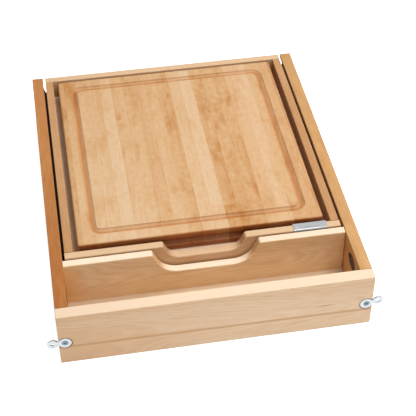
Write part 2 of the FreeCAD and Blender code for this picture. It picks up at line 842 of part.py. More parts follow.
def pins_of(radius, places, along, length):
    """Dowels at the left places and their mirror images on the right."""
    pins = []
    for place in places:
        pin = dowel(radius, place, along, length)
        pins.extend([pin, mirrored(pin)])
    return Part.makeCompound(pins)


def make_tray_dowels():
    pins = []
    for place, along in tray_dowel_places():
        pin = dowel(wall_dowel_radius, place, along, tray_dowel_length)
        pins.extend([pin, mirrored(pin)])
    return Part.makeCompound(pins)


def slide_screws(starts, along, length):
    screws = []
    for start in starts:
        screw = countersunk(slide_screw_radius, slide_screw_head_radius, start, along, length, 0)
        screws.extend([screw, mirrored(screw)])
    return Part.makeCompound(screws)


def make_bottom_screws():
    return Part.makeCompound([
        countersunk(bottom_screw_radius, bottom_screw_head_radius, place, UP, bottom_screw_length, 0)
        for place in bottom_screw_places()])


def build_pieces():
    """Every piece of the drawer by its node name."""
    pieces = {
        "drawer_front": make_front(),
        "trough_divider": make_divider(),
        "drawer_bottom": make_bottom(),
        "back_rail": make_back_rail(),
        "knife_block_base": make_block_base(),
        "knife_block_slats": make_block_slats(),
        "tray_front": make_tray_front(),
        "tray_back": make_tray_back(),
        "tray_bottom": make_tray_bottom(),
        "tray_edge_clip": make_clip(),
        "clip_pins": make_clip_pins(),
        "cutting_board": make_board(),
        "front_dowels": pins_of(front_dowel_radius, front_dowel_places(), BACK, front_dowel_length),
        "divider_dowels": pins_of(wall_dowel_radius, divider_dowel_places(), RIGHT, wall_dowel_length),
        "rail_dowels": pins_of(wall_dowel_radius, rail_dowel_places(), RIGHT, wall_dowel_length),
        "tray_dowels": make_tray_dowels(),
        "bottom_screws": make_bottom_screws(),
        "outer_slide_screws": slide_screws(outer_slide_screw_starts(), -RIGHT, outer_slide_screw_length),
        "inner_slide_screws": slide_screws(inner_slide_screw_starts(), RIGHT, inner_slide_screw_length),
        "lug_screws": make_lug_screws(),
        "front_lug_left": make_lug(-1, left_lug_tilt),
        "front_lug_right": make_lug(1, right_lug_tilt),
    }
    handed = {
        "drawer_side": make_left_side(),
        "tray_side": make_left_tray_side(),
        "slide_outer": make_left_outer_member(),
        "slide_middle": make_left_middle_member(),
        "slide_inner": make_left_inner_member(),
        "outer_ball_cage": make_left_outer_cage(),
        "inner_ball_cage": make_left_inner_cage(),
    }
    for name, shape in handed.items():
        pieces[name + "_left"] = shape
        pieces[name + "_right"] = mirrored(shape)
    return pieces


def write_pieces():
    os.makedirs("parts", exist_ok=True)
    pieces = build_pieces()
    for name in sorted(pieces):
        shape = pieces[name]
        shape.exportStep("parts/" + name + ".step")
        print(name, len(shape.Solids), "solids", round(shape.Volume / 1000, 2), "cm3")
    print(len(pieces), "nodes")


write_pieces()
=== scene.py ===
# %% [markdown]
# A knife and cutting board drawer
#
# The drawer's pieces come as a frame of exact solids: their sizes and places are settled. This
# lesson dresses them. It sets up a camera and a soft studio, then works out the woods and metals
# one after another, and shapes again the pieces whose curves show.
# Everything is in metres, with X to the right, Y from the front panel to the back and Z up.

# %% Load the frame
import math

import bmesh
import bpy
import numpy as np
from mathutils import Matrix, Vector


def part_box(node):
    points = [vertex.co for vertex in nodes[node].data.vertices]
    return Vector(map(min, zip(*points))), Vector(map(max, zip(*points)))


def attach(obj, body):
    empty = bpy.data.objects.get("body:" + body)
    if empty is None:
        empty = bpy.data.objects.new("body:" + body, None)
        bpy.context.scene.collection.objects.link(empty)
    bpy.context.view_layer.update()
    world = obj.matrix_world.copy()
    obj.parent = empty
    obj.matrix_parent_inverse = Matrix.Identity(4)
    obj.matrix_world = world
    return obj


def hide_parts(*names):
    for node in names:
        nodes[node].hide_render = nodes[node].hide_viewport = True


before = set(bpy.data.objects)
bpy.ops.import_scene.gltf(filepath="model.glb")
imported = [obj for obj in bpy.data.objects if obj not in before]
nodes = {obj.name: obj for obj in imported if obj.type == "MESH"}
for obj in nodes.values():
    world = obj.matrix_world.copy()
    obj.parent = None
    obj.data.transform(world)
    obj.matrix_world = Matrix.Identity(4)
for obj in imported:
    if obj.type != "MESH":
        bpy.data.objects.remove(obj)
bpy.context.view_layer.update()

MM = 0.001

# %% [markdown]
# The camera
#
# The photograph's straight edges give the camera: where it stood, what it looked at, how far it
# was rolled and how long its lens was. It could be pushed about until the picture fits, but
# measured values are exact and easy to change. A camera looks along its own -Z axis, so its place
# is a matrix of three directions. The roll is a small turn about the line of sight.

# %% Place the camera
CAMERA_PLACE = Vector((-192.5, -1347.1, 1277.1)) * MM
CAMERA_AIM = Vector((19.6, -78.1, 80.0)) * MM
CAMERA_ROLL = math.radians(-0.28)
CAMERA_LENS_MM, CAMERA_SENSOR_MM = 98.58, 36.0


def add_object(name, data):
    """A new object in the scene, made from a camera, a lamp or a mesh."""
    thing = bpy.data.objects.new(name, data)
    bpy.context.scene.collection.objects.link(thing)
    return thing


def aimed(place, target):
    """The matrix of a thing at a place whose own -Z axis points at the target."""
    turn = (target - place).to_track_quat("-Z", "Y").to_matrix().to_4x4()
    return Matrix.Translation(place) @ turn


camera_data = bpy.data.cameras.new("photo_camera")
camera_data.lens = CAMERA_LENS_MM
camera_data.sensor_width = CAMERA_SENSOR_MM
camera = add_object("photo_camera", camera_data)
camera.matrix_world = aimed(CAMERA_PLACE, CAMERA_AIM) @ Matrix.Rotation(CAMERA_ROLL, 4, "Z")
bpy.context.scene.camera = camera
print("camera to aim", round((CAMERA_AIM - CAMERA_PLACE).length, 3), "m")

# %% [markdown]
# The floor
#
# A product is often shown on a sheet of white paper. A flat plane is enough here, because the
# camera looks down and sees nothing else. The paper's own colour is nearly white. More light
# would bleach the drawer too, so a glow that only the camera and mirrors see lifts the paper to
# pure white, while it keeps the drawer's shadow.

# %% Lay the floor
FLOOR_SIZE = 12.0
FLOOR_COLOUR = (0.88, 0.88, 0.88, 1.0)
FLOOR_GLOW = 0.80
# A hair below the drawer's lower edges, so that no two faces share one plane
FLOOR_DROP = 0.2 * MM


def new_material(name):
    """An empty node material: the material, its tree and its output node."""
    material = bpy.data.materials.new(name)
    material.use_nodes = True
    tree = material.node_tree
    tree.nodes.clear()
    return material, tree, tree.nodes.new("ShaderNodeOutputMaterial")


def seen_directly(tree):
    """One on camera, mirror and glass rays, zero on the rays that light other things."""
    path = tree.nodes.new("ShaderNodeLightPath")
    total = path.outputs["Is Camera Ray"]
    for kind in ("Is Glossy Ray", "Is Transmission Ray"):
        both = tree.nodes.new("ShaderNodeMath")
        both.operation = "MAXIMUM"
        tree.links.new(total, both.inputs[0])
        tree.links.new(path.outputs[kind], both.inputs[1])
        total = both.outputs[0]
    return total


def paper_floor():
    """Plain paper plus a glow, which is its level times what seen_directly gives."""
    material, tree, output = new_material("paper_floor")
    paper = tree.nodes.new("ShaderNodeBsdfDiffuse")
    paper.inputs["Color"].default_value = FLOOR_COLOUR
    glow = tree.nodes.new("ShaderNodeEmission")
    level = tree.nodes.new("ShaderNodeMath")
    level.operation = "MULTIPLY"
    level.inputs[1].default_value = FLOOR_GLOW
    both = tree.nodes.new("ShaderNodeAddShader")
    tree.links.new(seen_directly(tree), level.inputs[0])
    tree.links.new(level.outputs[0], glow.inputs["Strength"])
    tree.links.new(paper.outputs[0], both.inputs[0])
    tree.links.new(glow.outputs[0], both.inputs[1])
    tree.links.new(both.outputs[0], output.inputs["Surface"])
    return material


bpy.ops.mesh.primitive_plane_add(size=FLOOR_SIZE, location=(0.0, 0.0, -FLOOR_DROP))
floor = bpy.context.object
floor.name = "floor"
floor.data.materials.append(paper_floor())
print("floor", FLOOR_SIZE, "m wide")

# %% [markdown]
# The light
#
# A picture on white has light from everywhere, and broad soft sources that give the edges their
# direction. Many lamps could do both. The world gives the even part for nothing, so two broad
# lamps are enough: a strong one above at the right, and a weak one in front. Where the camera or
# a mirror sees the world directly, it is white.

# %% Light the studio
WORLD_LEVEL, WORLD_SEEN = 0.36, 1.0
LAMP_AIM = Vector((0.0, 0.0, 0.05))
# Name, place, width and length, and watts
LAMPS = [
    ("sheet_above_right", (0.7, -0.15, 2.35), (1.3, 1.1), 45.0),
    ("sheet_in_front", (0.4, -2.2, 1.3), (2.0, 1.4), 7.0),
]


def white_world():
    """White light at one level on the drawer, and at another where it is seen directly."""
    world = bpy.data.worlds.new("studio")
    world.use_nodes = True
    tree = world.node_tree
    level = tree.nodes.new("ShaderNodeMapRange")
    level.inputs["To Min"].default_value = WORLD_LEVEL
    level.inputs["To Max"].default_value = WORLD_SEEN
    tree.nodes["Background"].inputs["Color"].default_value = (1.0, 1.0, 1.0, 1.0)
    tree.links.new(seen_directly(tree), level.inputs["Value"])
    tree.links.new(level.outputs["Result"], tree.nodes["Background"].inputs["Strength"])
    bpy.context.scene.world = world


def area_lamp(name, place, size, watts):
    """A glowing rectangle that faces the drawer."""
    lamp = bpy.data.lights.new(name, "AREA")
    lamp.shape = "RECTANGLE"
    lamp.size, lamp.size_y = size
    lamp.energy = watts
    add_object(name, lamp).matrix_world = aimed(Vector(place), LAMP_AIM)


white_world()
for lamp in LAMPS:
    area_lamp(*lamp)
bpy.context.scene.view_settings.view_transform = "Standard"
print("world at", WORLD_LEVEL, "and", len(LAMPS), "lamps")

# %% [markdown]
# Writing node trees briefly
#
# A wood shader has some fifty nodes, and setting each one up by hand hides the idea. This small
# helper adds a node, sets its inputs and links whatever is given as a socket, so a finish reads
# like the sum that it is.

# %% Node helpers
class Nodes:
    """A short way to write a node tree: each call adds a node and gives what comes out of it."""

    def __init__(self, tree):
        self.tree = tree

    def put(self, socket, value):
        """Link what is a socket, and set what is a plain value."""
        if isinstance(value, bpy.types.NodeSocket):
            self.tree.links.new(value, socket)
        else:
            socket.default_value = value

    def add(self, kind, settings, inputs):
        """A node of a kind, with its settings and whatever goes into it."""
        node = self.tree.nodes.new("ShaderNode" + kind)
        for name, value in settings.items():
            setattr(node, name, value)
        for name, value in inputs.items():
            self.put(node.inputs[name], value)
        return node

    def math(self, operation, a, b=0.0):
        """One operation on two numbers, or on the first alone."""
        return self.add("Math", {"operation": operation}, {0: a, 1: b}).outputs[0]

    def total(self, first, *others):
        """The sum of all the values, added in their order."""
        for other in others:
            first = self.math("ADD", first, other)
        return first

    def weigh(self, value, low, high, to_low=0.0, to_high=1.0):
        """The value's place between low and high, clamped, as a number from to_low to to_high."""
        return self.add("MapRange", {}, {"Value": value, "From Min": low, "From Max": high,
                                         "To Min": to_low, "To Max": to_high}).outputs["Result"]

    def swing(self, noise, most, low=0.3):
        """Noise, which stays mostly between low and 1 - low, as a number from -most to most."""
        return self.weigh(noise, low, 1.0 - low, -most, most)

    def blend(self, share, a, b, mode="MIX"):
        """Colour a where the share is zero, and a with b laid over it where it is one."""
        kind = {"data_type": "RGBA", "blend_type": mode}
        return self.add("Mix", kind, {0: share, 6: a, 7: b}).outputs[2]

    def object_place(self):
        """The place on the object, in metres."""
        return self.add("TexCoord", {}, {}).outputs["Object"]

    def facing(self):
        """How far the surface faces along X, Y and Z, each from -1 to 1."""
        return self.parts(self.add("TexCoord", {}, {}).outputs["Normal"])

    def moved(self, vector, scale=(1, 1, 1), turn=(0, 0, 0), by=(0, 0, 0)):
        """The vector scaled, then turned, then shifted."""
        return self.add("Mapping", {}, {"Vector": vector, "Scale": scale, "Rotation": turn,
                                        "Location": by}).outputs[0]

    def noise(self, where, marks, detail=2.0, roughness=0.5):
        """Smooth noise from 0 to 1 with so many marks per metre along each axis."""
        return self.add("TexNoise", {}, {"Vector": self.moved(where, marks), "Scale": 1.0,
                                         "Detail": detail, "Roughness": roughness}).outputs["Fac"]

    def random(self, vector):
        """A number from 0 to 1 drawn for each vector, always the same one for the same vector."""
        return self.add("TexWhiteNoise", {}, {"Vector": vector}).outputs["Value"]

    def length(self, vector):
        """How long the vector is."""
        return self.add("VectorMath", {"operation": "LENGTH"}, {0: vector}).outputs["Value"]

    def parts(self, vector):
        """The vector's X, Y and Z."""
        return self.add("SeparateXYZ", {}, {0: vector}).outputs

    def join(self, x, y, z):
        """One vector from three numbers."""
        return self.add("CombineXYZ", {}, {0: x, 1: y, 2: z}).outputs[0]


# %% [markdown]
# Maple
#
# Maple could be painted on each face, but then the grain would break at every edge. Instead the
# grain is a pattern in space, as in a real trunk: rings round a long axis, bent by slow noise,
# with fine fibres and short flecks along them. A piece cut from that space shows arches on its
# face, straight lines on its edge and rings on its end, all in step. Each piece gets its own
# region of the trunk, because no two pieces of a drawer come from the same place.

# %% A trunk to cut from
RINGS_PER_METRE = 450.0
WANDER = 34.0 * MM
# How far through a ring its wood is deepest, before the next ring starts pale again
LATE = 0.65
FLECK_SHARE = 0.18


def trunk(n, where, taper=0.03):
    """Drift of tone, late wood, fibres and flecks where the first axis runs along the grain.

    A place's age is its distance from the trunk's middle line, plus a slow wander, plus taper
    times the way along. The growth lines are where the age passes a whole number of rings.
    """
    bend = n.noise(where, (2.6, 12.0, 12.0))
    drift = n.noise(where, (1.6, 16.0, 16.0), 3.0)
    along, y, z = n.parts(where)[:3]
    wander = n.math("MULTIPLY", n.math("SUBTRACT", bend, 0.5), WANDER)
    age = n.total(n.length(n.join(0.0, y, z)), wander, n.math("MULTIPLY", along, taper))
    ring = n.math("FRACT", n.math("MULTIPLY", age, RINGS_PER_METRE))
    late = n.math("POWER", n.math("PINGPONG", n.math("ADD", ring, 1.0 - LATE), 1.0), 2.0)
    fibre = n.noise(where, (10.0, 620.0, 620.0), 3.0, 0.65)
    fleck = n.noise(where, (30.0, 300.0, 300.0), 1.0)
    return drift, late, fibre, n.weigh(fleck, 0.6, 0.8, 0.0, FLECK_SHARE)


print("a growth line every", round(1000 / RINGS_PER_METRE, 1), "mm")

# %% [markdown]
# Lacquer on wood
#
# The drawer has a thin satin lacquer. Fibres still stand out under it as a fine relief, and the
# ends of the boards drink it and turn deeper. A clear layer over the wood could stand for the
# lacquer, but so thin a one only sets the gloss. So this is one surface with a weak reflection:
# the fibres vary its roughness, and the way a face points tells where the grain ends.

# %% A lacquered surface
ALONG_X = (0.0, 0.0, 0.0)
ALONG_Y = (0.0, 0.0, math.radians(-90.0))
END_SHARE = 0.85
REFLECTION = 0.22
FIBRE_RELIEF, FIBRE_HEIGHT = 0.15, 0.3 * MM


def srgb(red, green, blue):
    """A display colour, 0 to 255, as the linear values that shaders work with."""
    part = np.array([red, green, blue]) / 255.0
    linear = np.where(part <= 0.04045, part / 12.92, ((part + 0.055) / 1.055) ** 2.4)
    return (*linear.tolist(), 1.0)


END_GRAIN = srgb(214, 186, 160)


def wood_surface(name, colour_of, grain, roughness):
    """A lacquered wood: its colour, deeper where the grain ends, and fibres that just raise it."""
    material, tree, output = new_material(name)
    n = Nodes(tree)
    colour, fibre = colour_of(n)
    along = n.math("ABSOLUTE", n.facing()[0 if grain == ALONG_X else 1])
    colour = n.blend(n.weigh(along, 0.55, 1.0, 0.0, END_SHARE), colour, END_GRAIN, "MULTIPLY")
    gloss = n.weigh(fibre, 0.2, 0.8, roughness - 0.04, roughness + 0.08)
    bump = n.add("Bump", {}, {"Strength": FIBRE_RELIEF, "Distance": FIBRE_HEIGHT, "Height": fibre})
    surface = n.add("BsdfPrincipled", {}, {"Base Color": colour, "Roughness": gloss,
                                           "Normal": bump.outputs[0],
                                           "Specular IOR Level": REFLECTION})
    tree.links.new(surface.outputs[0], output.inputs["Surface"])
    print(name, len(tree.nodes), "nodes")
    return material


# %% [markdown]
# The marks of one board, and painted light and shade
#
# Each board has marks of its own: the front panel has a thin dark streak and a short fleck.
# Painted light and shade are laid on the same way. The divider's left end is painted warm, for
# light thrown back off the orange left side. The routed wall of an access hole is painted dark,
# as painted shade. Faces that look up are painted paler, as painted top light. A painted map could
# hold all this, but it would turn coarse close up. Here a mark is a distance instead: from a line
# for the streak, from an oval's middle for a spot.

# %% Maple with its marks
LACQUER_ROUGHNESS = 0.45
DRIFT_SHARE, FIBRE_SHARE, MOTTLE_SHARE = 0.70, 0.14, 0.12
SPOT_SHARE, STREAK_SHARE, TOP_LIGHT_SHARE = 0.85, 0.8, 0.6
STREAK_BROWN = srgb(208, 158, 110)
# The streak is full this far from its line, gone this far from it, and waves this much
STREAK_FULL, STREAK_GONE, STREAK_WAVE = 0.6 * MM, 3.6 * MM, 1.2 * MM


def out_of_oval(n, here, middle, half):
    """How far out a place lies: zero at the oval's middle and one on its outline."""
    return n.length(n.moved(here, [1 / h for h in half], by=[-m / h for m, h in zip(middle, half)]))


def off_line(n, here, drift, height, slope):
    """How far above or below a sloping line a place lies, where the wood's drift waves the line."""
    x, _, z = n.parts(here)[:3]
    line = n.total(n.math("SUBTRACT", z, height), n.math("MULTIPLY", x, slope))
    return n.math("ABSOLUTE", n.total(line, n.weigh(drift, 0.0, 1.0, -STREAK_WAVE, STREAK_WAVE)))


def maple(name, pale, deep, grain, heart, figure=0.25, taper=0.03,
          deepen=None, streak=None, spot=None, rim=None):
    """Plain maple: two tones, shared out by a sum.

    The sum is that of drift, growth lines, fibres, flecks and mottle, each with its own share.
    Heart moves the wood into the trunk, in m. Deepen gives an axis, two places along it and how
    much deeper the wood is at the first than at the second. A streak is a dark line on a cross
    face, given by its height at the middle and its slope. A spot is an oval of colour that runs
    through the board, given by its middle, its half sizes, its colour, and how many half sizes
    out it is gone and full; it serves for real marks and for painted light and shade. A rim is
    painted top light: a paler tone on the faces that look up.
    """
    def colour_of(n):
        here = n.object_place()
        where = n.moved(here, turn=grain, by=heart)
        drift, late, fibre, fleck = trunk(n, where, taper)
        mottle = n.noise(where, (40.0, 130.0, 130.0))
        share = n.total(n.weigh(drift, 0.3, 0.7, 0.0, DRIFT_SHARE),
                        n.math("MULTIPLY", late, figure), n.swing(fibre, FIBRE_SHARE, 0.25), fleck,
                        n.swing(mottle, MOTTLE_SHARE))
        if deepen:
            axis, near, far, more = deepen
            share = n.total(share, n.weigh(n.parts(here)[axis], near, far, more, 0.0))
        colour = n.blend(n.weigh(share, 0.0, 1.0), pale, deep)
        # A spot is a real mark, or painted light or painted shade laid on as an oval
        if spot:
            middle, half, mark, gone, full = spot
            out = out_of_oval(n, here, middle, half)
            colour = n.blend(n.weigh(out, gone, full, 0.0, SPOT_SHARE), colour, mark)
        if streak:
            off = off_line(n, here, drift, *streak)
            shown = n.weigh(off, STREAK_GONE, STREAK_FULL, 0.0, STREAK_SHARE)
            colour = n.blend(shown, colour, STREAK_BROWN)
        # Painted top light: faces that look up are blended towards the paler rim tone
        if rim:
            colour = n.blend(n.weigh(n.facing()[2], 0.6, 0.95, 0.0, TOP_LIGHT_SHARE), colour, rim)
        return colour, fibre
    return wood_surface(name, colour_of, grain, LACQUER_ROUGHNESS)


# %% [markdown]
# The butcher block
#
# The board is glued up from upright strips of maple, all of one width, each from another plank.
# Side by side they differ in tone, and some are pieced from two lengths. Dividing the place
# across the board by the width and rounding down numbers the strips. A colour ramp with steps
# instead of slopes turns that number into the strip's tone, and a random number that depends on
# it shifts each strip's grain, so that no figure crosses a glue line.

# %% Strips of the board
STRIP_WIDTH = 19.85 * MM
FIRST_GLUE_LINE = -196.5 * MM
# The shortest and longest length that a strip is pieced from
STRIP_LENGTHS = (0.18, 0.55)
# How far at most the draws move a strip's start, and its wood along and across the trunk
START_DRAW, ALONG_DRAW, ACROSS_DRAW = 0.9, 3.0, 0.4
# Tone of each strip from the left edge to the right, from pale, 0, to deep, 1
STRIP_TONES = [0.57, 0.44, 0.36, 0.34, 0.24, 0.40, 0.36, 0.52, 0.42, 0.56,
               0.30, 0.26, 0.60, 0.60, 0.56, 0.30, 0.26, 0.54, 0.58, 0.68]


def strip_tone(n, number):
    """A ramp with one step for each strip, read in the middle of the step."""
    count = len(STRIP_TONES)
    middle = n.math("DIVIDE", n.math("ADD", number, 0.5), count)
    ramp = n.add("ValToRGB", {}, {"Fac": middle})
    ramp.color_ramp.interpolation = "CONSTANT"
    stops = ramp.color_ramp.elements
    while len(stops) < count:
        stops.new(1.0)
    for i, (stop, tone) in enumerate(zip(stops, STRIP_TONES)):
        stop.position = i / count
        stop.color = (tone, tone, tone, 1.0)
    return ramp.outputs["Color"]


def strip_wood(n, here, number):
    """Where in the trunk a strip is cut from, and the chance that each of its lengths gets.

    The way along, plus a start of the strip's own, divided by its length and rounded down,
    numbers the lengths. The chance of a length then moves it along the trunk. The plain numbers
    beside the strip's number only make the two draws differ.
    """
    own = n.random(n.join(number, 0.3, 0.7))
    length = n.weigh(own, 0.0, 1.0, *STRIP_LENGTHS)
    place = n.math("ADD", n.parts(here)[1], n.math("MULTIPLY", own, START_DRAW))
    chance = n.random(n.join(number, n.math("FLOOR", n.math("DIVIDE", place, length)), 0.1))
    shift = n.join(n.math("MULTIPLY", chance, ALONG_DRAW), n.math("MULTIPLY", own, ACROSS_DRAW),
                   20.0 * MM)
    both = {0: n.moved(here, turn=ALONG_Y), 1: shift}
    return n.add("VectorMath", {"operation": "ADD"}, both).outputs[0], chance


print(len(STRIP_TONES), "strips,", round(STRIP_WIDTH / MM, 2), "mm wide")

# %% [markdown]
# Oil and painted shade on the board
#
# Oil sinks deeper into cut and routed faces, so the groove, the front edge and the hollow in it
# are deeper in tone than the top, and more pink further down: partly oil, partly painted shade
# in the groove and the hollow. The left and back edges are kept paler, as painted light in the
# narrow gaps beside them. Those faces could have a second material, but the change is soft. So
# oil and shade are one number that depends on the depth below the top and on the way to the
# edges, and that number tints the wood.

# %% Where the oil went
BOARD_LOW, BOARD_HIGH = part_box("cutting_board")
BOARD_TOP = BOARD_HIGH[2]
# Tints of oil and painted shade: the groove's near the top, the cut one deeper down and on the
# front edge
CUT_OIL_AND_SHADE, GROOVE_OIL_AND_SHADE = srgb(193, 148, 112), srgb(218, 178, 128)
OIL_AND_SHADE_SHARE = 0.9
# Depths at which the oil and painted shade start and are full, and at which the tint has become the
# deeper one
OIL_START, OIL_FULL, OIL_DEEPER = 2.2 * MM, 4.2 * MM, 8.0 * MM
# Ways behind the front edge at which its oil and painted shade start and are full, and the width of
# the left and back edges kept paler as painted light
FRONT_START, FRONT_FULL, LIGHTER_EDGE_WIDTH = 2.5 * MM, 0.5 * MM, 4.0 * MM


def oil_and_shade(n, here):
    """The share of oil at a place, and its tint.

    The share, of oil and painted shade, is the greater of what the depth and the front edge give,
    times one on the board and zero at its left and back edges, which stay paler as painted light.
    """
    x, along, z = n.parts(here)[:3]
    deep = n.weigh(z, BOARD_TOP - OIL_START, BOARD_TOP - OIL_FULL, 0.0, OIL_AND_SHADE_SHARE)
    front = BOARD_LOW[1]
    end = n.weigh(along, front + FRONT_START, front + FRONT_FULL, 0.0, OIL_AND_SHADE_SHARE)
    # Painted light: the tint fades out at the left and back edges, so they stay paler, as if lit in
    # the gaps beside them
    off_left = n.weigh(x, BOARD_LOW[0], BOARD_LOW[0] + LIGHTER_EDGE_WIDTH)
    off_back = n.weigh(along, BOARD_HIGH[1], BOARD_HIGH[1] - LIGHTER_EDGE_WIDTH)
    share = n.math("MULTIPLY", n.math("MAXIMUM", deep, end), off_left)
    tint = n.weigh(z, BOARD_TOP - OIL_FULL, BOARD_TOP - OIL_DEEPER)
    return n.math("MULTIPLY", share, off_back), n.blend(tint, GROOVE_OIL_AND_SHADE, CUT_OIL_AND_SHADE)


print("board", [round(side / MM, 1) for side in BOARD_HIGH - BOARD_LOW], "mm")

# %% [markdown]
# One colour for the whole board
#
# Twenty strips could have twenty materials, but then one change would have to be made twenty
# times. One material adds up the strip's own tone and the marks of its wood, and the sum runs
# through three tones. The left strips are also paler towards the front. Oil with painted shade,
# and glue lines, come last, because they lie over all the rest.

# %% Mix the board
BOARD_PALE, BOARD_MID, BOARD_DEEP = srgb(226, 195, 160), srgb(214, 171, 123), srgb(190, 131, 71)
STRIP_PINK, GLUE_BROWN = srgb(222, 178, 140), srgb(170, 112, 66)
BOARD_ROUGHNESS = 0.46
CHANCE_SWING, DRIFT_SWING, MOTTLE_SWING, FIBRE_SWING = 0.05, 0.15, 0.09, 0.12
CURL_SHARE, LATE_SHARE, PINK_SHARE, GLUE_SHARE = 0.45, 0.05, 0.16, 0.30
# The lean from the front edge to the back, and the places across at which it is full and gone
LEAN_FRONT, LEAN_BACK, LEAN_FULL, LEAN_GONE = -0.10, 0.12, -0.12, 0.03
# How far from a strip's middle the glue starts, where half a width is the strip's edge
GLUE_START = 0.485


def board_share(n, here, number, where, chance):
    """How deep the wood is: the sum of its strip's tone, its lean, drift, curl and finer marks."""
    x, along = n.parts(here)[:2]
    drift, late, fibre, fleck = trunk(n, where)
    curl = n.noise(where, (15.0, 30.0, 30.0), 3.0, 0.55)
    mottle = n.noise(where, (110.0, 130.0, 130.0))
    tone = strip_tone(n, number)
    lean = n.weigh(along, BOARD_LOW[1], BOARD_HIGH[1], LEAN_FRONT, LEAN_BACK)
    lean = n.math("MULTIPLY", lean, n.weigh(x, LEAN_FULL, LEAN_GONE, 1.0, 0.0))
    curl = n.weigh(curl, 0.50, 0.74, 0.0, CURL_SHARE)
    curl = n.math("MULTIPLY", curl, n.math("ADD", tone, 0.4))
    share = n.total(tone, n.swing(chance, CHANCE_SWING, 0.0), lean, n.swing(drift, DRIFT_SWING),
                    curl, n.swing(mottle, MOTTLE_SWING), n.math("MULTIPLY", late, LATE_SHARE),
                    n.swing(fibre, FIBRE_SWING, 0.25), fleck)
    return share, fibre


def board_colour(n):
    """Three tones by the share, then the oil's tint, a pink cast on some strips, and the glue."""
    here = n.object_place()
    across = n.math("DIVIDE", n.math("SUBTRACT", n.parts(here)[0], FIRST_GLUE_LINE), STRIP_WIDTH)
    number = n.math("FLOOR", across)
    where, chance = strip_wood(n, here, number)
    share, fibre = board_share(n, here, number, where, chance)
    light = n.blend(n.weigh(share, 0.0, 0.5), BOARD_PALE, BOARD_MID)
    colour = n.blend(n.weigh(share, 0.5, 1.0), light, BOARD_DEEP)
    # The tint is partly oil and partly painted shade in the groove, the hollow and on the front
    # edge
    oiled_and_shaded, tint = oil_and_shade(n, here)
    colour = n.blend(oiled_and_shaded, colour, tint, "MULTIPLY")
    colour = n.blend(n.weigh(chance, 0.6, 0.9, 0.0, PINK_SHARE), colour, STRIP_PINK)
    off_middle = n.math("ABSOLUTE", n.math("SUBTRACT", n.math("FRACT", across), 0.5))
    glued = n.weigh(off_middle, GLUE_START, 0.5, 0.0, GLUE_SHARE)
    return n.blend(glued, colour, GLUE_BROWN), fibre


board_wood = wood_surface("board_maple", board_colour, ALONG_Y, BOARD_ROUGHNESS)

# %% [markdown]
# The other woods
#
# The front is the palest maple. The drawer's sides are warmer, the left one nearly orange, and
# the tray's sides are a little pink: cabinet makers take what the stack gives. Each wood is the
# same function with other tones and marks. The front is deeper towards its left end and the sides
# towards their near ends. The bottoms are thin plywood with one wide veneer on each face, so they
# are cut from the trunk so far from its middle that its rings are nearly flat. The tray's bottom
# is a paler copy: painted light, which stands for light reaching it in the narrow gaps beside the
# board.

# %% Mix the woods
# Middle, half sizes, colour, and how many half sizes out the spot is gone and full
FLECK = ((159.0 * MM, 0.0, 49.8 * MM), (14.0 * MM, math.inf, 0.85 * MM),
         srgb(178, 120, 66), 1.4, 0.4)
# Painted light: a warm glow on the divider's left end, standing for light thrown back off the
# orange left side
BOUNCE_LIGHT_END = ((-225.0 * MM, 0.0, 60.0 * MM), (50.0 * MM, math.inf, 70.0 * MM),
            srgb(255, 207, 134), 1.0, 0.3)
# Painted shade: the routed wall of each access hole is coloured dark, where shade falls inside the
# hole
ACCESS_HOLE_SHADE = ((0.0, -221.75 * MM, 72.0 * MM), (math.inf, 17.5 * MM, 11.5 * MM),
               srgb(112, 86, 72), 1.04, 1.01)
# Each rim colour below is painted top light, a paler tone on the faces that look up
front_wood = maple("front_maple", srgb(249, 222, 190), srgb(231, 190, 149), ALONG_X,
                   (0.30, 0.40, -0.05), 0.34, 0.045, deepen=(0, -0.20, 0.05, 0.5),
                   streak=(0.0325, 0.008), spot=FLECK, rim=srgb(244, 223, 197))
# Painted light: the divider is also paler towards its left end, for the same light thrown back off
# the left side
divider_wood = maple("divider_maple", srgb(254, 228, 189), srgb(226, 182, 129), ALONG_X,
                     (-0.18, 0.225, -0.060), 0.42, 0.06, deepen=(0, -0.225, -0.05, -0.45),
                     spot=BOUNCE_LIGHT_END, rim=srgb(255, 238, 218))
tray_cross_wood = maple("tray_cross_maple", srgb(229, 196, 158), srgb(197, 151, 104), ALONG_X,
                        (0.70, 0.60, 0.20), 0.35, rim=srgb(226, 191, 152))
tray_side_wood = maple("tray_side_maple", srgb(214, 170, 128), srgb(186, 133, 82), ALONG_Y,
                       (0.4, 0.35, 0.10), deepen=(1, -0.25, 0.15, 0.6))
left_wood = maple("left_side_maple", srgb(204, 143, 84), srgb(166, 98, 42), ALONG_Y,
                  (1.7, 0.42, 0.11), 0.34, deepen=(1, -0.28, 0.05, 0.28), spot=ACCESS_HOLE_SHADE)
right_wood = maple("right_side_maple", srgb(232, 190, 134), srgb(193, 141, 86), ALONG_Y,
                   (2.9, 0.38, -0.13), 0.34, deepen=(1, -0.28, 0.05, 0.15), spot=ACCESS_HOLE_SHADE)
plywood = maple("plywood", srgb(228, 205, 176), srgb(213, 182, 147), ALONG_X,
                (0.2, 1.9, 0.4), 0.10)
# Painted light: the tray's bottom is a paler copy of the plywood, for the gaps beside the board
plywood_painted_lighter = maple("plywood_painted_lighter", srgb(254, 232, 202), srgb(238, 206, 168), ALONG_X,
                     (0.9, 1.7, 0.6), 0.10)
block_wood = maple("block_maple", srgb(236, 200, 158), srgb(208, 162, 114), ALONG_Y,
                   (4.1, 0.2, 0.0))
dowel_wood = maple("dowel_beech", srgb(222, 178, 134), srgb(196, 148, 104), ALONG_X,
                   (5.3, 0.1, 0.1))

